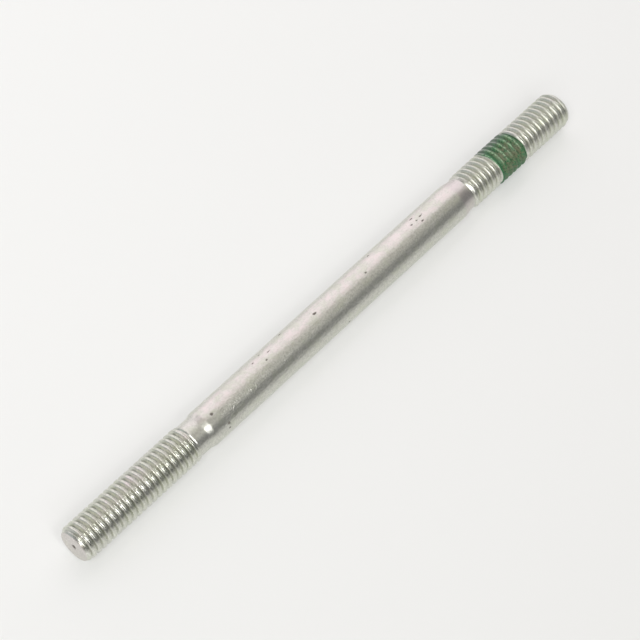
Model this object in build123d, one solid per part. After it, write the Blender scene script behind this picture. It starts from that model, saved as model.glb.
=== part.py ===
"""Cylinder stud: a plain shank between two rolled M6 threads, with a band of dried thread-lock.

The stud lies along X with its underside on Z = 0. Its bare end is at -X, and the end with
the thread-lock is at +X. All sizes are in millimetres.
"""

from build123d import *
from math import ceil, radians, tan
import os

# ---------------------------------------------------------------- driving dimensions

overall_length = 105.6

# the rolled thread, the same at both ends
thread_pitch = 1.0
crest_diameter = 5.97
crest_land = 0.31  # the flat along each crest
flank_angle = 30.0  # from square to the axis, so the groove is a 60 degree V
crest_above_neck = 0.265  # how far rolling has raised the crests above the blank
thread_length = 22.9  # from an end face to where the thread has run out into the neck
groove_runout = 1.7  # over which the groove's bottom rises to the neck
crest_runout = 0.65  # over which the last crest falls to the neck
bare_end_phase = 0.53  # where the groove lies along the top of the stud, from the end face
lock_end_phase = 0.02

# the end faces
chamfer_length = 0.75
chamfer_depth = 0.485
dimple_diameter = 0.8  # a tool's mark in the middle of the bare end's face
bare_dimple_depth = 0.12

# between the threads
shank_diameter = 5.95
bare_neck_length = 2.0
bare_shoulder_length = 0.95
lock_neck_length = 0.3
lock_shoulder_length = 1.8

# the band of dried thread-lock
coat_from_end = 10.4  # from the +X end face to the band
coat_length = 6.5
coat_thickness = 0.04
coat_clearance = 0.01  # between the crests and the inside of the band

# ---------------------------------------------------------------- sizes that follow from them

flank_width = (thread_pitch - crest_land) / 2  # along the axis

crest_radius = crest_diameter / 2
root_radius = crest_radius - flank_width / tan(radians(flank_angle))
neck_radius = crest_radius - crest_above_neck
shank_radius = shank_diameter / 2
end_face_radius = crest_radius - chamfer_depth

coat_inner_radius = crest_radius + coat_clearance
coat_outer_radius = coat_inner_radius + coat_thickness
resting_radius = max(coat_outer_radius, shank_radius)  # what the stud lies on


def turned(*outline):
    """The solid turned about X by a closed outline of (x, radius) points."""
    return revolve(Plane.XY * make_face(Polyline(*outline, close=True)), axis=Axis.X)


def where(line, radius):
    """The x at which a straight outline, given by two of its points, has this radius."""
    (x0, r0), (x1, r1) = line
    return x0 + (x1 - x0) * (radius - r0) / (r1 - r0)


# ---------------------------------------------------------------- the thread


def one_turn(radius, x):
    """One right-hand turn of a helix that leaves the top of the stud at x."""
    return Helix(thread_pitch, thread_pitch, radius, center=(x, 0, 0), direction=(1, 0, 0)).edge()


def turn_edges(x):
    """The helices that bound one turn: groove bottom, both edges of the crest, groove bottom."""
    return [
        one_turn(root_radius, x),
        one_turn(crest_radius, x + flank_width),
        one_turn(crest_radius, x + flank_width + crest_land),
        one_turn(root_radius, x + thread_pitch),
    ]


def bar_end(x):
    """What closes a threaded bar: a helical ramp from the axis out to the groove, and its step."""
    helices = turn_edges(x)
    axis = Edge.make_line((x, 0, 0), (x + thread_pitch, 0, 0))
    step = Polyline(axis @ 0, *[helix @ 0 for helix in helices], axis @ 1, close=True)
    return [Face.make_surface_from_curves(helices[0], axis), make_face(step).face()]


def threaded_bar(x, turns):
    """A bar with thread all along it: the flanks and crest of every turn, sewn edge to edge."""
    faces = bar_end(x) + bar_end(x + turns * thread_pitch)
    for turn in range(turns):
        helices = turn_edges(x + turn * thread_pitch)
        faces += [Face.make_surface_from_curves(a, b) for a, b in zip(helices, helices[1:])]
    return Solid(Shell(faces))


def threaded_end(phase, dimple_depth=0.0):
    """A threaded end with its face on X = 0, chamfered there and run out towards the neck."""
    spare_turns = 2  # beyond each end of what is kept
    turns = ceil(thread_length / thread_pitch) + 2 * spare_turns
    bar = threaded_bar(phase - spare_turns * thread_pitch, turns)

    chamfer = (0, end_face_radius), (chamfer_length, crest_radius)
    last_crest = (thread_length - crest_runout, crest_radius), (thread_length, neck_radius)
    clear = crest_radius + flank_width  # stays off the crests
    return bar & turned(
        (dimple_depth, 0),
        (0, dimple_diameter / 2),
        (0, end_face_radius),
        (where(chamfer, clear), clear),
        (where(last_crest, clear), clear),
        (where(last_crest, root_radius), root_radius),
        (where(last_crest, root_radius), 0),
    )


# ---------------------------------------------------------------- the stud


def shank():
    """The plain middle, from inside one thread's run-out to inside the other's."""
    groove_bottom = (thread_length - groove_runout, root_radius), (thread_length, neck_radius)
    inside = root_radius - (neck_radius - root_radius)
    start = where(groove_bottom, inside)
    bare_shoulder = thread_length + bare_neck_length
    lock_shoulder = overall_length - thread_length - lock_neck_length
    return turned(
        (start, 0),
        (start, inside),
        (thread_length, neck_radius),
        (bare_shoulder, neck_radius),
        (bare_shoulder + bare_shoulder_length, shank_radius),
        (lock_shoulder - lock_shoulder_length, shank_radius),
        (lock_shoulder, neck_radius),
        (overall_length - thread_length, neck_radius),
        (overall_length - start, inside),
        (overall_length - start, 0),
    )


bare_end = threaded_end(bare_end_phase, dimple_depth=bare_dimple_depth)
lock_end = Pos(overall_length, 0, 0) * Rot(0, 0, 180) * threaded_end(lock_end_phase)
stud = bare_end + shank() + lock_end

# ---------------------------------------------------------------- the band of thread-lock

coat_end = overall_length - coat_from_end
thread_lock_coat = turned(
    (coat_end - coat_length, coat_inner_radius),
    (coat_end - coat_length, coat_outer_radius),
    (coat_end, coat_outer_radius),
    (coat_end, coat_inner_radius),
)

# ---------------------------------------------------------------- laid down and written out

laid_down = Pos(-overall_length / 2, 0, resting_radius)

os.makedirs("parts", exist_ok=True)
export_step(laid_down * stud, "parts/stud.step")
export_step(laid_down * thread_lock_coat, "parts/thread_lock_coat.step")
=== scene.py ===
# %% [markdown]
# # Cylinder stud, dressed for its picture
# A cylinder stud is a steel rod with a rolled thread at each end. One end screws into the
# crankcase and the other takes a nut. This one is zinc plated, and one of its threads carries a
# band of dried green thread-lock.
#
# The engineering model is already made, so this script only dresses it: finer threads, small
# marks, a plated finish, dried paint, a floor, lamps and a camera. Everything stands in the
# frame of that model, in metres.

# %% Load the engineering model
from math import cos, pi, radians, sin, tan

import bmesh
import bpy
import numpy as np
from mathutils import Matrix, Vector, noise


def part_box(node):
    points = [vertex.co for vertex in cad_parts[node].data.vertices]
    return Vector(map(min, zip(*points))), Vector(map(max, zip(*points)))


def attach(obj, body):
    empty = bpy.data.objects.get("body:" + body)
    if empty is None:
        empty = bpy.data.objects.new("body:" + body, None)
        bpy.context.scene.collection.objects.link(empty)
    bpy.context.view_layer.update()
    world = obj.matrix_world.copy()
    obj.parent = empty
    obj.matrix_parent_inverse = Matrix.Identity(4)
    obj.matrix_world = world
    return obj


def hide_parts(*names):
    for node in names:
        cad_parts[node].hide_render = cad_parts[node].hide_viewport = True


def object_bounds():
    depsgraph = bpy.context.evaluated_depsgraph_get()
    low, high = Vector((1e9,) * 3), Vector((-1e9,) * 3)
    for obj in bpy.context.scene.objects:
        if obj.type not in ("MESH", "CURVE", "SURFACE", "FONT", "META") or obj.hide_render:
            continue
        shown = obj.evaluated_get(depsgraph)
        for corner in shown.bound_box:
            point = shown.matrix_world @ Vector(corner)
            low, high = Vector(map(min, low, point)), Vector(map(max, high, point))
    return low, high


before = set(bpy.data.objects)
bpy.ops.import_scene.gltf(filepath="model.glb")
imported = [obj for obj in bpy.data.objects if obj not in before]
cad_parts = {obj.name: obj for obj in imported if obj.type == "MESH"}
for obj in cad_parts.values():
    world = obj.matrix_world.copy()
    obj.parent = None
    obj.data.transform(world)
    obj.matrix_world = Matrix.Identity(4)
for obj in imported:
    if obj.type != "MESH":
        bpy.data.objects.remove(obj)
cad_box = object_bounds()
stud_low, stud_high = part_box("stud")
coat_low, coat_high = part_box("thread_lock_coat")
print("nodes", sorted(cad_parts), "box", cad_box)

# %% [markdown]
# ## The measures of the stud
# A turner reads a stud from its bare end, so every place along it is told in millimetres from
# that face. The two ends of the model's box say where the faces are, and the middle of the coat's
# box is the axis. The rest are the drawing's own sizes.

# %% Sizes in millimetres
MM = 0.001
bare_face = stud_low.x / MM
length = (stud_high.x - stud_low.x) / MM
axis_height = (coat_low.z + coat_high.z) / 2 / MM
pitch = 1.0
crest_radius = (stud_high.z - stud_low.z) / 2 / MM
root_radius = 2.42
neck_radius = 2.72
shank_radius = 2.975
thread_length = 22.9
shank_start, shank_end = 25.85, 80.6
shoulder_start, shoulder_end = 24.9, 82.4
coat_start, coat_end = length - 16.9, length - 10.4
coat_radius = (coat_high.z - coat_low.z) / 2 / MM
print("length", round(length, 3), "axis height", round(axis_height, 3),
      "crest", round(crest_radius, 3))

# %% [markdown]
# ## A skin wound round an axis
# Rolling a thread presses a die's ridges into the bar, so the metal flows along a helix. A mesh
# that follows the helix needs far fewer points than one that cuts across it: each column of
# points runs along the groove or along the crest, and the next turn's columns join on to it.
#
# The skin is built from the bare end to the other in rings and wound stretches, with the same
# number of points round the axis everywhere, so that each part ends on a ring that the next
# one starts from.
#
# Know this before using these meshes elsewhere: bridge and wind list a face's corners so that it
# points in at the axis, and close lists them so that it points out. That is a mistake which is
# left in. A small dark ring in the middle of the lock end's face is taken to come from it, and
# a viewer that hides the backs of faces will show the pieces wrongly.

# %% The skin
POINTS_ROUND = 96
ROUND = np.arange(POINTS_ROUND)
ANGLE = 2 * pi * ROUND / POINTS_ROUND
NEARLY = 0.012  # a column this near to an edge, in millimetres, is drawn on to it


class Skin:
    """Points and faces of one closed surface that goes round the stud's axis."""

    def __init__(self):
        self.points, self.faces = [], []

    def put(self, along, radius, angle):
        """Adds points, each given by its place along the stud, radius and angle from the top."""
        first = len(self.points)
        for x, r, a in zip(*np.broadcast_arrays(along, radius, angle)):
            self.points.append((bare_face + x, -r * sin(a), axis_height + r * cos(a)))
        return first + np.arange(len(self.points) - first)

    def ring(self, along, radius):
        return self.put(along, radius, ANGLE)

    def bridge(self, near, far):
        """Joins two rings with a band of four-sided faces."""
        for i in range(POINTS_ROUND):
            j = (i + 1) % POINTS_ROUND
            self.faces.append((near[i], far[i], far[j], near[j]))
        return far

    def rings(self, near, outline):
        """Follows an outline of (along, radius) pairs from the ring it is given."""
        for along, radius in outline:
            near = self.bridge(near, self.ring(along, radius))
        return near

    def close(self, last, along, facing_bare_end):
        """Closes a ring with a fan to one point on the axis."""
        middle = self.put([along], [0.0], [0.0])[0]
        for i in range(POINTS_ROUND):
            j = (i + 1) % POINTS_ROUND
            face = (last[i], last[j], middle)
            self.faces.append(face[::-1] if facing_bare_end else face)

    def wind(self, start, end, first_root, columns, radius_at, inward=False):
        """Adds a helical stretch from start to end and returns its first and last rings.

        start and end are one place for each angle, so an edge can wander. columns are the
        places of the mesh's columns in one turn, in turns.
        """
        start, end = (np.broadcast_to(np.asarray(v, float), POINTS_ROUND) for v in (start, end))
        turns = np.arange(np.floor(start.min() - first_root) - 2,
                          np.ceil(end.max() - first_root) + 2)
        column_places = (turns[:, None] + np.asarray(columns)[None, :]).ravel() * pitch + first_root
        step = len(columns)
        rows = np.arange(POINTS_ROUND + 1)
        along = column_places[None, :] + pitch * rows[:, None] / POINTS_ROUND
        low = start[rows % POINTS_ROUND][:, None]
        high = end[rows % POINTS_ROUND][:, None]
        column = np.arange(len(column_places))[None, :] + step * (rows[:, None] == POINTS_ROUND) + 1
        last = len(column_places) + step + 1
        column = np.where(along <= low + NEARLY, 0, np.where(along >= high - NEARLY, last, column))
        key = column * POINTS_ROUND + rows[:, None] % POINTS_ROUND
        keys, where_first, index = np.unique(key, return_index=True, return_inverse=True)
        row = where_first // len(column_places) % POINTS_ROUND
        at = np.clip(along.ravel()[where_first], low.ravel()[row], high.ravel()[row])
        at = np.where(keys < POINTS_ROUND, low.ravel()[row], at)
        at = np.where(keys >= last * POINTS_ROUND, high.ravel()[row], at)
        angle = ANGLE[row]
        number = self.put(at, radius_at(at, angle), angle)[index].reshape(key.shape)
        for i in range(POINTS_ROUND):
            for square in zip(number[i], number[i, 1:], number[i + 1, 1:], number[i + 1]):
                corners = list(dict.fromkeys(square))
                if len(corners) > 2:
                    self.faces.append(tuple(corners[::-1] if inward else corners))
        ring_at = dict(zip(key.ravel(), number.ravel()))
        return ([ring_at[i] for i in range(POINTS_ROUND)],
                [ring_at[last * POINTS_ROUND + i] for i in range(POINTS_ROUND)])

    def piece(self, name):
        mesh = bpy.data.meshes.new(name)
        mesh.from_pydata([tuple(c * MM for c in p) for p in self.points], [],
                         [tuple(int(i) for i in f) for f in self.faces])
        mesh.validate()
        mesh.polygons.foreach_set("use_smooth", [True] * len(mesh.polygons))
        made = bpy.data.objects.new(name, mesh)
        bpy.context.scene.collection.objects.link(made)
        print(name, len(mesh.vertices), "points", len(mesh.polygons), "faces")
        return made

# %% [markdown]
# ## The thread's shape
# A rolled thread has no sharp edges. The metal is squeezed up between two ridges of the die and
# hardly meets in the middle, which leaves a fine seam along the crest, and the root takes the
# round nose of the die. The two flanks stand at 60 degrees to each other. Each of these is one
# line, and soft versions of min and max join the lines with a small radius. The bare end is
# drawn with the seam, and the lock end without it and with a rounder crest.

# %% Thread profile
def soft_min(a, b, blend):
    h = np.clip(0.5 + 0.5 * (b - a) / blend, 0, 1)
    return b * (1 - h) + a * h - blend * h * (1 - h)


def soft_max(a, b, blend):
    return -soft_min(-a, -b, blend)


def ramp(low, high, value):
    h = np.clip((value - low) / (high - low), 0, 1)
    return h * h * (3 - 2 * h)


def from_root(along, angle, first_root):
    """Distance to the middle of the nearest groove, along the stud."""
    turn = (along - first_root) / pitch - angle / (2 * pi)
    return np.abs((turn + 0.5) % 1 - 0.5) * pitch


FLANK_FOOT = 2.46  # radius at which the two straight flanks would meet
FLANK_ANGLE = radians(30)  # from square to the axis
SEAM_WIDTH = 0.16
CREST_LIFT, SEAM_LIFT = 0.006, 0.4  # make up for the height that rounding and seam take off
CREST_BLEND, ROOT_BLEND = 0.14, 0.04


def rolled_profile(side, seam_depth, roundness):
    """Radius of the thread at a distance to one side of a groove's middle."""
    flank = FLANK_FOOT + side / tan(FLANK_ANGLE)
    from_crest = pitch / 2 - side
    seam = seam_depth * np.exp(-(from_crest / SEAM_WIDTH) ** 2)
    crest = crest_radius + CREST_LIFT + SEAM_LIFT * seam_depth - roundness * from_crest ** 2 - seam
    return soft_max(soft_min(flank, crest, CREST_BLEND), root_radius, ROOT_BLEND)


BARE_CREST, LOCK_CREST = (0.080, 0.4), (0.0, 1.5)  # depth of the seam, roundness of the crest
THREAD_COLUMNS = [0, .07, .16, .24, .295, .34, .39, .445, .5, .555, .61, .66, .705, .76, .84, .93]
for side in (0, 0.25, 0.46):
    print("radius at", side, "from the root", round(float(rolled_profile(side, *BARE_CREST)), 3))

# %% [markdown]
# ## Where a thread begins and ends
# At the outer face the bar is chamfered before it is rolled, so the first turn grows out of the
# chamfer. At the inner end the die lifts off: the groove gets shallower until the crest sinks
# into the plain neck. The same function serves both ends of the stud, because each measures
# from its own face.

# %% One threaded end
CHAMFER_LENGTH, CHAMFER_DEPTH = 0.75, 0.485
LIFT_OFF_LENGTH, LIFT_OFF_HEIGHT = 0.65, 0.265  # over which the last crest falls to the neck
RUN_OUT_LENGTH, RUN_OUT_RADIUS = 1.7, 2.387  # over which the groove rises from that radius
GROWN_FROM, GROWN_AT = 0.05, 0.70  # where the first turn comes out of the chamfer
SETTLED = 0.15
face_radius = crest_radius - CHAMFER_DEPTH


def thread_radius(from_face, side, crest):
    """Radius of a threaded end, from_face being the distance to its own outer face."""
    chamfer = face_radius + from_face * CHAMFER_DEPTH / CHAMFER_LENGTH
    chamfer = np.minimum(chamfer, crest_radius + 0.1)
    lift_off = neck_radius + (thread_length - from_face) * LIFT_OFF_HEIGHT / LIFT_OFF_LENGTH
    into_run_out = from_face - thread_length + RUN_OUT_LENGTH
    shallow = RUN_OUT_RADIUS + into_run_out * (neck_radius - RUN_OUT_RADIUS) / RUN_OUT_LENGTH
    rolled = soft_max(rolled_profile(side, *crest), np.minimum(shallow, neck_radius), 0.05)
    rolled = soft_min(rolled, np.maximum(lift_off, neck_radius), 0.05)
    grown = ramp(GROWN_FROM, GROWN_AT, from_face)
    rolled = chamfer + (soft_min(rolled, chamfer, 0.06) - chamfer) * grown
    settled = ramp(thread_length - SETTLED, thread_length, from_face)
    return rolled * (1 - settled) + neck_radius * settled


BARE_ROOT, LOCK_ROOT = 0.53, 0.66  # place of the first groove along the top of the stud


def bare_thread(along, angle):
    return thread_radius(along, from_root(along, angle, BARE_ROOT), BARE_CREST)


def lock_thread(along, angle):
    return thread_radius(length - along, from_root(along, angle, LOCK_ROOT), LOCK_CREST)


for place in (0.5, 10.03, 22.8):
    print("bare thread at", place, "mm", round(float(bare_thread(place, 0.0)), 3))

# %% [markdown]
# ## The whole stud
# The skin starts in the small dimple in the bare face, runs out over the face and its small
# edge radius, winds along the first thread, follows the neck, the cone and the plain shank, and
# winds along the second thread to the other face.

# %% The stud's skin
EDGE = 0.06
DIMPLE = [(0.108, 0.12), (0.09, 0.22), (0.055, 0.33), (0.02, 0.43), (0.0, 0.52)]

stud_skin = Skin()
start = stud_skin.ring(*DIMPLE[0])
stud_skin.close(start, 0.12, facing_bare_end=True)
FACE_RINGS = (0.8, 1.3, 1.8, 2.2)
bare_end = [(0, radius) for radius in FACE_RINGS] + [(0, face_radius - 0.05), (0.012, face_radius + 0.002)]
rim = stud_skin.rings(start, DIMPLE[1:] + bare_end)
first, last = stud_skin.wind(EDGE, thread_length, BARE_ROOT, THREAD_COLUMNS, bare_thread)
stud_skin.bridge(rim, first)

SHANK_RINGS = 118
plain = [(23.5, neck_radius), (24.3, neck_radius), (shoulder_start - 0.08, neck_radius),
         (shoulder_start + 0.06, neck_radius + 0.02), (shank_start - 0.12, shank_radius - 0.035),
         (shank_start + 0.06, shank_radius)]
plain += [(along, shank_radius) for along in np.linspace(shank_start + 0.3, shank_end - 0.3, SHANK_RINGS)]
plain += [(shank_end - 0.10, shank_radius), (shank_end + 0.12, shank_radius - 0.02), (81.5, 2.8475),
          (shoulder_end - 0.10, neck_radius + 0.014), (shoulder_end + 0.06, neck_radius)]
neck_end = stud_skin.rings(last, plain)
first, last = stud_skin.wind(length - thread_length, length - EDGE, LOCK_ROOT, THREAD_COLUMNS,
                             lock_thread)
stud_skin.bridge(neck_end, first)
lock_face = [(length - 0.012, face_radius + 0.002), (length, face_radius - 0.05)]
lock_face += [(length, radius) for radius in FACE_RINGS[::-1] + (0.4,)]
last = stud_skin.rings(last, lock_face)
stud_skin.close(last, length, facing_bare_end=False)
stud = stud_skin.piece("plated_stud")

# %% [markdown]
# ## Pits in the shank
# The shank has a scatter of small dark specks, drawn here as shallow pits. They could be painted
# on, but a hollow also catches the light, so they are pressed into the mesh. The faces round each
# one are divided first, which keeps the rest of the shank light.

# %% Press the pits
PIT_DEPTH = 0.09
RIM = 0.16  # how far beyond a pit the faces are divided
PITS = [  # along the stud, degrees round from the top, half length, half width
    (27.2, 10, 0.30, 0.24), (28.5, 63, 0.22, 0.15), (28.4, 79, 0.16, 0.14), (37.5, -23, 0.18, 0.12),
    (39.2, -32, 0.22, 0.10), (39.2, 1, 0.20, 0.15), (40.4, -16, 0.14, 0.12), (44.0, -40, 0.20, 0.14),
    (49.8, -6, 0.34, 0.22), (53.9, 95, 0.18, 0.16), (60.3, 7, 0.18, 0.14), (63.1, -34, 0.18, 0.14),
    (71.5, -7, 0.18, 0.14), (72.4, -26, 0.34, 0.13), (72.6, -7, 0.16, 0.12), (73.2, 6, 0.26, 0.14),
    (73.6, -11, 0.26, 0.15), (58.0, 150, 0.20, 0.16), (34.6, 205, 0.24, 0.16), (66.5, 232, 0.20, 0.14),
]


def on_shank(along, degrees):
    a = radians(degrees)
    return Vector((bare_face + along, -shank_radius * sin(a), axis_height + shank_radius * cos(a))) * MM


def depth_share(point, centre, half_length, half_width):
    """1 in the middle of a pit and 0 at its edge and outside."""
    off = (point - centre) / MM
    across = (off.y ** 2 + off.z ** 2) ** 0.5
    return max(0.0, 1 - (off.x / half_length) ** 2 - (across / half_width) ** 2)


shape = bmesh.new()
shape.from_mesh(stud.data)
for along, degrees, half_length, half_width in PITS:
    centre = on_shank(along, degrees)
    reach = (half_length + RIM) * MM
    near = [f for f in shape.faces if (f.calc_center_median() - centre).length < reach]
    edges = list({e for f in near for e in f.edges})
    bmesh.ops.subdivide_edges(shape, edges=edges, cuts=2, use_grid_fill=True)
for point in shape.verts:
    if not shank_start * MM < point.co.x - stud_low.x < shank_end * MM:
        continue
    outward = Vector((0, point.co.y, point.co.z - axis_height * MM)).normalized()
    for along, degrees, half_length, half_width in PITS:
        centre = on_shank(along, degrees)
        if abs(point.co.x - centre.x) < half_length * MM:
            share = depth_share(point.co, centre, half_length, half_width)
            if share > 0:
                point.co = point.co - outward * PIT_DEPTH * MM * share ** 0.6
                break
shape.to_mesh(stud.data)
shape.free()
stud.data.polygons.foreach_set("use_smooth", [True] * len(stud.data.polygons))
print("stud with pits", len(stud.data.vertices), "points", len(stud.data.polygons), "faces")

# %% [markdown]
# ## Notes for the finish
# The finish has to know where it is on the stud: in a pit, down in a thread root, on rolled
# thread or plain shank, or on the tinted cone and end face. These follow from the shape, so
# they are worked out once for each point and stored on the mesh for the finish to read.

# %% Note pits, thread roots and tinted parts
co = np.empty(len(stud.data.vertices) * 3, np.float32)
stud.data.vertices.foreach_get("co", co)
co = co.reshape(-1, 3) / MM
along = co[:, 0] - bare_face
radius = np.hypot(co[:, 1], co[:, 2] - axis_height)
shank = (along > shank_start + 0.1) & (along < shank_end - 0.1)
grime = np.where(shank, np.clip((shank_radius - 0.012 - radius) / 0.03, 0, 1), 0)
centre_mark = (along < 0.2) & (along > 0.02) & (radius < 0.45)
grime = np.maximum(grime, np.where(centre_mark, np.clip(along / 0.09, 0, 1), 0))
threaded = (along < thread_length - 0.3) | (along > length - thread_length + 0.3)
off_chamfer = (along > 0.4) & (along < length - 0.4)
groove = np.where(threaded & off_chamfer, np.clip((2.66 - radius) / 0.18, 0, 1), 0)
rolled = np.where(threaded, 1.0, 0.0)
drawn = ramp(shank_start, shank_start + 3.0, along) * ramp(shank_end, shank_end - 3.0, along)
cone = ramp(shank_end - 0.4, shank_end + 0.2, along) * ramp(shoulder_end + 0.5, shoulder_end, along)
blush = np.maximum(np.clip((0.09 - along) / 0.04, 0, 1), cone)
notes = {"grime": grime, "groove": groove, "rolled": rolled, "drawn": drawn, "blush": blush}
for name, values in notes.items():
    layer = stud.data.attributes.new(name, "FLOAT", "POINT")
    layer.data.foreach_set("value", values.astype(np.float32))
print("dirty points", int((grime > 0.5).sum()), "groove points", int((groove > 0.5).sum()))

# %% [markdown]
# ## The thread-lock band
# Thread-lock goes on wet, fills the grooves part of the way and dries to a skin over the
# crests. The band is drawn with edges that lean and wander. It is wound with the same columns
# as the thread beneath, an outer face and an inner one just under the metal's surface, and it
# thins to nothing at both edges.

# %% The coat's skin
def wobble(along, angle, seed, scale):
    """Even, repeatable unevenness from -1 to 1 over the band."""
    out = np.empty(len(along))
    for i, (x, a) in enumerate(zip(along, angle)):
        out[i] = noise.noise(Vector((x * scale, 3 * scale * sin(a), 3 * scale * cos(a) + seed)))
    return out


EDGE_LEAN, EDGE_LEAN_FROM, EDGE_WANDER = 0.20, radians(15), 0.10


def coat_edge(middle, seed):
    """An edge that leans to one side and wanders a little."""
    wander = EDGE_WANDER * wobble(np.full(POINTS_ROUND, middle), ANGLE, seed, 0.5)
    return middle + EDGE_LEAN * np.sin(ANGLE - EDGE_LEAN_FROM) + wander


start_edge = coat_edge(coat_start + 0.32, 3.0)
end_edge = coat_edge(coat_end - 0.31, 8.0)
for name, edge in (("starts", start_edge), ("ends", end_edge)):
    print("coat", name, "from", edge.min().round(2), "to", edge.max().round(2))

COAT_TAPER = 0.32  # over which it thins to nothing at an edge
COAT_THICKNESS, FILLED_TO = 0.040, 2.66  # of the skin, and the radius its grooves fill to
INTO_METAL = 0.012  # how far its inner face lies under the metal's surface
INSIDE_BOX = 0.006  # how far it stays inside the solid's box


def coat_outside(along, angle):
    metal = lock_thread(along, angle)
    index = np.round(angle / (2 * pi) * POINTS_ROUND).astype(int) % POINTS_ROUND
    body = ramp(0, COAT_TAPER, np.minimum(along - start_edge[index], end_edge[index] - along))
    thick = COAT_THICKNESS + 0.012 * wobble(along, angle, 21.0, 1.1)
    filled = FILLED_TO + 0.07 * wobble(along, angle, 40.0, 0.7)
    outside = soft_max(metal + thick, filled, 0.10) + 0.008 * wobble(along, angle, 60.0, 3.5)
    return np.minimum(metal * (1 - body) + outside * body, coat_radius - INSIDE_BOX)


def coat_inside(along, angle):
    return lock_thread(along, angle) - INTO_METAL


coat_skin = Skin()
outer = coat_skin.wind(start_edge, end_edge, LOCK_ROOT, THREAD_COLUMNS, coat_outside)
inner = coat_skin.wind(start_edge, end_edge, LOCK_ROOT, THREAD_COLUMNS, coat_inside,
                       inward=True)
coat_skin.bridge(inner[0], outer[0])
coat_skin.bridge(outer[1], inner[1])
coat = coat_skin.piece("dried_lock_band")

# %% [markdown]
# ## Writing a finish as sums
# A finish in Blender is a sheet of nodes. Wiring it by hand hides the idea, so one small class
# lets a socket be added, multiplied or compared like a number, and the Math nodes appear by
# themselves. Colours have their own method, because a Math node would turn them grey.

# %% Sockets that do sums
class Socket:
    """A node's output. Arithmetic on it adds Math nodes."""

    def __init__(self, finish, output):
        self.finish, self.output = finish, output

    def math(self, operation, *values):
        return self.finish.node("ShaderNodeMath", {"operation": operation}, dict(enumerate(values)))

    def __add__(self, other): return self.math("ADD", self, other)
    def __radd__(self, other): return self.math("ADD", other, self)
    def __sub__(self, other): return self.math("SUBTRACT", self, other)
    def __rsub__(self, other): return self.math("SUBTRACT", other, self)
    def __mul__(self, other): return self.math("MULTIPLY", self, other)
    def __rmul__(self, other): return self.math("MULTIPLY", other, self)
    def __truediv__(self, other): return self.math("DIVIDE", self, other)
    def __pow__(self, other): return self.math("POWER", self, other)
    def __abs__(self): return self.math("ABSOLUTE", self)
    def fraction(self): return self.math("FRACT", self)
    def arctan2(self, other): return self.math("ARCTAN2", self, other)

    def between(self, low, high):
        """0 below low, 1 above high, and smooth from one to the other."""
        return self.finish.node("ShaderNodeMapRange", {"interpolation_type": "SMOOTHSTEP"},
                                {"Value": self, "From Min": low, "From Max": high})

    def part(self, name):
        """Another output of the same node."""
        return Socket(self.finish, self.output.node.outputs[name])


# %% [markdown]
# ## A sheet of nodes
# A second small class holds one material. It has one way to add any node, and a name for each
# thing that is wanted often: a noise, a mix of two colours, a value stored on the mesh, a bump.

# %% One material
class Finish:
    """One material and its sheet of nodes."""

    def __init__(self, name):
        self.material = bpy.data.materials.new(name)
        self.material.use_nodes = True
        self.nodes = self.material.node_tree.nodes
        self.surface = self.nodes["Principled BSDF"]
        self.mm = self.vector("SCALE", self.node("ShaderNodeTexCoord").part("Object"), scale=1 / MM)

    def node(self, kind, settings=None, sockets=None, out=0):
        """Adds a node: its settings first, then the values or links of its sockets."""
        made = self.nodes.new(kind)
        for name, value in (settings or {}).items():
            setattr(made, name, value)
        for name, value in (sockets or {}).items():
            self.feed(made.inputs[name], value)
        return Socket(self, made.outputs[out])

    def feed(self, socket, value):
        if isinstance(value, Socket):
            self.material.node_tree.links.new(value.output, socket)
        else:
            socket.default_value = (*value, 1) if socket.type == "RGBA" and len(value) == 3 else value

    def vector(self, operation, a, b=None, scale=None):
        sockets = {0: a}
        if b is not None:
            sockets[1] = b
        if scale is not None:
            sockets["Scale"] = scale
        return self.node("ShaderNodeVectorMath", {"operation": operation}, sockets)

    def mix(self, factor, a, b):
        """Colour a where factor is 0 and colour b where it is 1."""
        return self.node("ShaderNodeMix", {"data_type": "RGBA"}, {0: factor, 6: a, 7: b}, out=2)

    def mottle(self, size, detail=3.0, roughness=0.5, stretch=(1, 1, 1), shift=(0, 0, 0)):
        """Noise from 0 to 1 whose patches are about size millimetres across."""
        where = self.vector("ADD", self.vector("MULTIPLY", self.mm, stretch), shift)
        return self.node("ShaderNodeTexNoise", None,
                         {"Vector": where, "Scale": 1 / size, "Detail": detail, "Roughness": roughness})

    def stored(self, name):
        """A value kept on the mesh's points."""
        return self.node("ShaderNodeAttribute", {"attribute_name": name}, None, out="Fac")

    def bump(self, height, depth):
        """Relief, depth being in millimetres what a height of 1 stands for."""
        return self.node("ShaderNodeBump", None,
                         {"Height": height, "Strength": 1.0, "Distance": depth * MM}, out="Normal")

    def set(self, **sockets):
        for name, value in sockets.items():
            self.feed(self.surface.inputs[name.replace("_", " ")], value)
        return self.material
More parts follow.
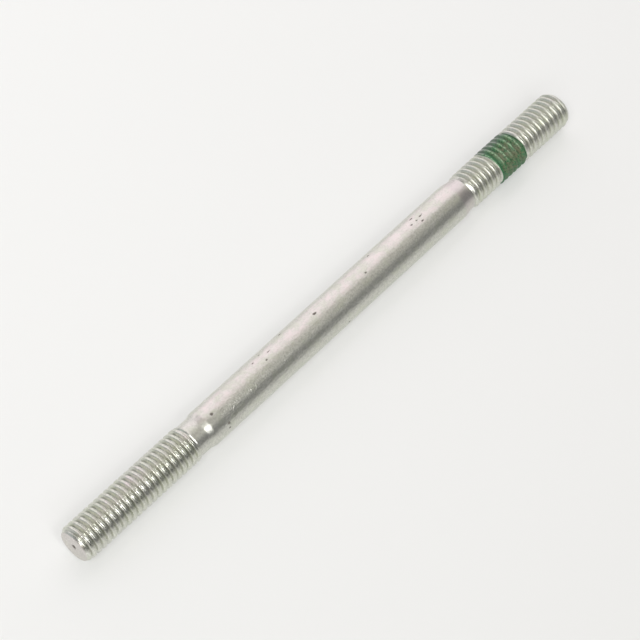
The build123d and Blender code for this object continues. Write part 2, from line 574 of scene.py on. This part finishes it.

# %% [markdown]
# ## Bright zinc plate
# Zinc is plated a few thousandths of a millimetre thick over a drawn bar. It stays satin rather
# than mirror bright, because the bar's grain shows through as fine specks, lengthwise streaks
# and a ripple too shallow to feel. A film over the zinc is drawn faintly green in patches. Along
# the top of the rod a faint pink is painted reflection, mottled like the film. The rolled threads
# are drawn a little smoother than the shank, with their roots drawn darker, mostly as painted
# shade in a band of heights on the upper half, and the pits are drawn as bare dark spots.

# %% Noises of the plate
plate = Finish("zinc_plated_steel")
grain = plate.mottle(0.20, detail=4.0, roughness=0.7, stretch=(0.7, 1, 1))
speckle = plate.mottle(0.30, detail=2.0, roughness=0.6, shift=(0, 17, 0))
streak = plate.mottle(0.26, detail=3.0, roughness=0.6, stretch=(0.06, 1, 1))
ripple = plate.mottle(0.24, detail=1.0, roughness=0.4, shift=(0, 0, 23))
film = plate.mottle(1.3, detail=3.0, stretch=(0.8, 1, 1), shift=(0, 11, 0))
patch = plate.mottle(5.0, detail=1.0, shift=(7, 0, 2)).between(0.44, 0.56)
speck = plate.mottle(0.22, detail=1.0, shift=(3, 5, 9)).between(0.68, 0.76)
grime, groove, rolled, drawn, blush = (plate.stored(name) for name in notes)

# %% [markdown]
# ## Where the plate's tints lie
# The stud's own axes say where round the metal a tint lies, so it stays with the part from every
# side. Heights are told in millimetres from the axis.

# %% Places round the stud
place = plate.node("ShaderNodeSeparateXYZ", None, {0: plate.mm})
lift = place.part("Z") - axis_height
# Painted shade: the band of heights on the upper half where the thread roots are darkened most.
root_shade_band = lift.between(0.6, 1.6) * lift.between(2.45, 2.25)
# Painted reflection: a pink sheen along the top of the rod, leaning back towards the pink panels behind
# it.
SHEEN_UP, SHEEN_BACK = 0.978, 0.208  # the pink line leans 12 degrees back from the top
pink_sheen_top = (lift * SHEEN_UP + place.part("Y") * SHEEN_BACK).between(2.5, 3.0)
lock_end = rolled * place.part("X").between(0.0, 10.0)
green_patch = patch * rolled

# %% [markdown]
# ## Laying the plate's colours
# Each tint is mixed over the one before, from the silver of the zinc to the dark of the pits.
# Only colour, metalness, roughness and the bump change from place to place.

# %% Colours of the plate
DULL_SILVER, PALE_SILVER = (0.575, 0.580, 0.525), (0.755, 0.755, 0.695)
PINK_SHEEN, GREEN_FILM, BLUSH = (0.80, 0.73, 0.705), (0.65, 0.67, 0.565), (0.665, 0.595, 0.60)
GRAIN_GREY, ROOT_SHADE = (0.42, 0.41, 0.39), (0.20, 0.21, 0.20)
SPECK_BROWN, PIT_BROWN = (0.30, 0.28, 0.25), (0.08, 0.06, 0.045)

mottled = speckle.between(0.32, 0.68) * 0.8 + streak.between(0.30, 0.70) * 0.2
silver = plate.mix(mottled, DULL_SILVER, PALE_SILVER)
# Painted reflection: the pink sheen along the top, mottled by the film's noise and weaker on the lock
# thread and the green patches.
rosy = (film.between(0.40, 0.66) * 0.6 + 0.3) * pink_sheen_top * (1 - lock_end * 0.9) * (1 - green_patch * 0.7)
pink = plate.mix(rosy, silver, PINK_SHEEN)
tinted = plate.mix(film.between(0.50, 0.34) * 0.5 + green_patch * 0.35, pink, GREEN_FILM)
grained = plate.mix(grain.between(0.55, 0.75) * 0.30, tinted, GRAIN_GREY)
# The thread roots are drawn darker, a little everywhere and most in that band, which is painted shade.
root_shaded = plate.mix(groove * (root_shade_band * 0.65 + 0.05), grained, ROOT_SHADE)
blushed = plate.mix(blush * 0.5, root_shaded, BLUSH)
speckled = plate.mix(speck * 0.35, blushed, SPECK_BROWN)
pitted = plate.mix(grime * 0.85, speckled, PIT_BROWN)
satin = 0.30 + grain * 0.12 - rolled * 0.08 + lock_end * 0.06 + groove * root_shade_band * 0.25
relief = plate.bump(ripple * drawn, 0.06)
plate.set(Base_Color=pitted, Metallic=1 - grime * 0.7, Roughness=satin + grime * 0.3, Normal=relief)
print("plated finish uses", len(plate.nodes), "nodes")

# %% [markdown]
# ## Dried thread-lock
# The dried skin is matt green, deep green where it has pooled in the grooves and scuffed to a
# brownish grey on one side. Painted light is laid over it: a pale green painted highlight on the
# crests on top, painted shade in the grooves on top and a grey painted sheen on the far side.

# %% Places on the band
paint = Finish("dried_thread_lock")
spread = paint.node("ShaderNodeSeparateXYZ", None, {0: paint.mm})
across, up = spread.part("Y"), spread.part("Z") - axis_height
from_axis = (across * across + up * up) ** 0.5
round_turn = (-1 * across).arctan2(up) / (2 * pi)
phase = ((spread.part("X") - (bare_face + LOCK_ROOT)) / pitch - round_turn).fraction()
# Painted highlight: a line just short of each crest's middle, on the shoulder facing the bare end.
crest = 1 - abs(phase - 0.42).between(0.05, 0.15)
pool = from_axis.between(2.86, 2.70)
blotch = paint.mottle(0.8, detail=4.0, roughness=0.6, shift=(2, 0, 4))
fine = paint.mottle(0.30, detail=4.0, roughness=0.7)
middle = spread.part("X") - (bare_face + (coat_start + coat_end) / 2 + 0.3)
scuffed_side = (up * 0.75 - across * 0.66).between(0.6, 2.7) * (1 - (middle * middle).between(3.5, 8.5))
scuff = scuffed_side * (blotch * 0.55 + fine * 0.45).between(0.42, 0.56)
on_top = up.between(1.9, 2.9)
far_side = across.between(0.4, 2.4)
coat_from_face = bare_face + coat_start
first_turn = spread.part("X").between(coat_from_face + 1.15, coat_from_face + 0.85)
# Pale grey patches on the crests, only on the far side, where they are painted sheen.
far_crest_sheen = far_side * from_axis.between(2.93, 3.02) * blotch.between(0.35, 0.60)

# %% [markdown]
# ## Laying the paint's colours
# The greens come first, then the scuffs and the dirt, and last the painted highlights and sheen.

# %% Colours of the dried paint
DEEP_GREEN, LEAF_GREEN, POOL_GREEN = (0.040, 0.155, 0.058), (0.080, 0.250, 0.110), (0.018, 0.075, 0.028)
SCUFF_BROWN, FIRST_GREEN, DARK_DIRT = (0.190, 0.170, 0.105), (0.028, 0.155, 0.055), (0.022, 0.045, 0.020)
HIGHLIGHT_GREEN, SHEEN_GREY, PALE_GREY = (0.32, 0.48, 0.30), (0.20, 0.195, 0.19), (0.42, 0.43, 0.40)

green = paint.mix(fine.between(0.35, 0.65), DEEP_GREEN, LEAF_GREEN)
# Deep green where the paint has pooled in the grooves, made darker on top as painted shade.
pooled_and_shaded = paint.mix(pool * (on_top * 0.5 + 0.2), green, POOL_GREEN)
scuffed = paint.mix(scuff * 0.75, pooled_and_shaded, SCUFF_BROWN)
begun = paint.mix(first_turn * 0.8, scuffed, FIRST_GREEN)
dirty = paint.mix(fine.between(0.47, 0.36) * 0.8, begun, DARK_DIRT)
# Painted highlight: pale green on the crests on top, broken by noise.
crest_highlight = paint.mix(crest * on_top * fine.between(0.38, 0.56) * 0.8, dirty, HIGHLIGHT_GREEN)
# Painted sheen: the far side is turned grey, as the bright panels behind would show in the paint.
grey_sheened = paint.mix(far_side * 0.65, crest_highlight, SHEEN_GREY)
# Painted sheen: pale grey on the far side's crests.
crest_sheened = paint.mix(far_crest_sheen * 0.8, grey_sheened, PALE_GREY)
relief = paint.bump(fine * 0.6 + blotch * 0.4, 0.05)
paint.set(Base_Color=crest_sheened, Roughness=0.30 + fine * 0.2, Normal=relief)
print("paint finish uses", len(paint.nodes), "nodes")

# %% [markdown]
# ## Joining the pieces to the model
# Each dressed piece rides on the model's body and takes the place of the plain solid, and its
# finish is put into that solid's slots as well.

# %% Ride, replace and fill the slots
for piece, node, slot, material in ((stud, "stud", "zinc_plated_steel", plate.material),
                                    (coat, "thread_lock_coat", "dried_thread_lock", paint.material)):
    piece.data.materials.append(material)
    for solid_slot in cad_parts[node].material_slots:
        solid_slot.material = material
    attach(piece, "root")
    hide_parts(node)
    print(piece.name, "stands for", node)

# %% [markdown]
# ## The floor
# A small bright part is shot on a pale sheet much larger than itself. The sheet catches the soft
# shadow that sets the stud down, and the metal's lower half mirrors it, so its tone
# matters twice. A little of its own light, seen only by the camera and in reflections, keeps it
# pale without lighting the stud more.

# %% Pale sheet
sheet_mesh = bpy.data.meshes.new("pale_sheet")
REACH = 3.0  # metres
corners = [(-REACH, -REACH, 0), (REACH, -REACH, 0), (REACH, REACH, 0), (-REACH, REACH, 0)]
sheet_mesh.from_pydata(corners, [], [(0, 1, 2, 3)])
sheet = bpy.data.objects.new("pale_sheet", sheet_mesh)
bpy.context.scene.collection.objects.link(sheet)

sheet_finish = Finish("pale_sheet")
rays = sheet_finish.node("ShaderNodeLightPath")
seen = rays.part("Is Camera Ray") + rays.part("Is Glossy Ray") + rays.part("Is Transmission Ray")
seen = seen.between(0.0, 1.0)
SHEET_COLOUR, SHEET_GLOW = (0.47, 0.47, 0.46), (0.785, 0.79, 0.775)
mirror = sheet_finish.node("ShaderNodeFresnel", None, {"IOR": 1.5})
ground = sheet_finish.node("ShaderNodeSeparateXYZ", None, {0: sheet_finish.mm})
# Painted light: the glow is brighter towards +Y and dimmer towards +X, a painted fall-off of the lamps'
# light across the sheet.
falling = 1 + (ground.part("Y") * 1.30 - ground.part("X") * 0.10) * 0.001
tone = falling.between(0.0, 2.0)
glow = sheet_finish.vector("SCALE", SHEET_GLOW, scale=seen * (1 - mirror) * tone)
sheet_finish.set(Base_Color=SHEET_COLOUR, Roughness=0.3, Emission_Color=glow, Emission_Strength=1.0)
sheet_mesh.materials.append(sheet_finish.material)

# %% [markdown]
# ## The camera
# The stud lies across the view from lower left to upper right and is looked down on from about
# 55 degrees. A long lens from a third of a metre keeps its two ends nearly the same size.

# %% Camera
HEADING, ELEVATION, DISTANCE = radians(48.01), radians(55.06), 0.36506
AIM_ALONG, AIM_ACROSS = -1.77, 0.32  # millimetres from the middle of the axis
low, high = (Vector(v) for v in cad_box)
aim = Vector(((low.x + high.x) / 2 + AIM_ALONG * MM, AIM_ACROSS * MM, axis_height * MM))
level = Vector((sin(HEADING), cos(HEADING), 0))
looking = level * cos(ELEVATION) - Vector((0, 0, sin(ELEVATION)))
camera = bpy.data.objects.new("camera", bpy.data.cameras.new("camera"))
camera.data.lens = 140.2
camera.data.sensor_width = 36
camera.data.clip_start, camera.data.clip_end = 0.01, 20
camera.location = aim - looking * DISTANCE
camera.rotation_euler = looking.to_track_quat("-Z", "Y").to_euler()
bpy.context.scene.collection.objects.link(camera)
bpy.context.scene.camera = camera
print("camera at", [round(v, 4) for v in camera.location])

# %% [markdown]
# ## Lamps
# Metal shows its surroundings, so it is lit by what it should mirror. A tent of soft panels
# stands round the stud: the brightest behind it, for the pale band along its upper side, and
# the dimmest to its right, for the dark line that makes a rod look round. The panels are flat
# light, so two small strong lamps in front add the sparkle on the thread crests and a soft
# shadow behind.

# %% An area lamp
LAMP_DISTANCE = 0.7
rightward = Vector((cos(HEADING), -sin(HEADING), 0))


def direction(azimuth, elevation):
    """Unit vector at an azimuth from the picture's right towards its far side, and an elevation."""
    a, e = radians(azimuth), radians(elevation)
    return (rightward * cos(a) + level * sin(a)) * cos(e) + Vector((0, 0, sin(e)))


def lamp(name, azimuth, elevation, width, height, brightness, colour, shape="RECTANGLE"):
    """An area lamp that faces the stud. brightness is the tone a perfect mirror would show."""
    light = bpy.data.lights.new(name, "AREA")
    light.shape, light.size, light.size_y = shape, width * LAMP_DISTANCE, height * LAMP_DISTANCE
    area = light.size * light.size_y * (pi / 4 if shape == "ELLIPSE" else 1)
    light.energy, light.color = brightness * area * pi, colour
    holder = bpy.data.objects.new(name, light)
    away = direction(azimuth, elevation)
    holder.location = away * LAMP_DISTANCE
    holder.rotation_euler = away.to_track_quat("Z", "Y").to_euler()
    bpy.context.scene.collection.objects.link(holder)
    return round(light.energy, 2)


# %% [markdown]
# ## The tent
# The panels are told as one table. Sizes are for each metre of distance, so a panel keeps its
# place in the metal if the tent is made larger.

# %% Panels and key lamps
COOL, NEUTRAL, ROSY = (0.92, 0.98, 1.0), (1, 1, 1), (1, 0.955, 0.985)
WARM, AMBER = (1, 0.96, 0.88), (1, 0.88, 0.80)
PANELS = [  # azimuth, elevation, width and height for each metre of distance, brightness, colour
    ("behind_low", 95, 22, 1.95, 0.71, 1.21, ROSY),
    ("behind_high", 95, 55, 1.25, 0.42, 1.24, ROSY),
    ("left_low", 180, 22, 1.42, 0.71, 0.62, COOL),
    ("left_high", 180, 55, 1.00, 0.42, 0.16, COOL),
    ("overhead", 100, 88, 0.75, 0.75, 0.61, WARM),
    ("right_low", 5, 20, 1.15, 0.67, 0.20, NEUTRAL),
    ("right_high", 10, 52, 0.92, 0.42, 0.54, WARM),
    ("front_left", -120, 16, 1.08, 0.40, 0.56, AMBER),
    ("front_strip", -80, 34, 0.90, 0.24, 4.45, NEUTRAL),
]
for name, *values in PANELS:
    print(name, lamp(name, *values))
print("key_left", lamp("key_left", -109, 56, 0.24, 0.24, 18.6, NEUTRAL, "ELLIPSE"))
print("key_right", lamp("key_right", -59, 52, 0.24, 0.24, 15.0, NEUTRAL, "ELLIPSE"))

# %% [markdown]
# ## The room
# What lies beyond the tent is nearly dark, so that only the panels show in the metal.

# %% Room and view
world = bpy.data.worlds.new("room")
world.use_nodes = True
bpy.context.scene.world = world
room = world.node_tree.nodes["Background"]
room.inputs["Color"].default_value = (0.96, 0.98, 1.0, 1)
room.inputs["Strength"].default_value = 0.02
bpy.context.scene.view_settings.view_transform = "Standard"
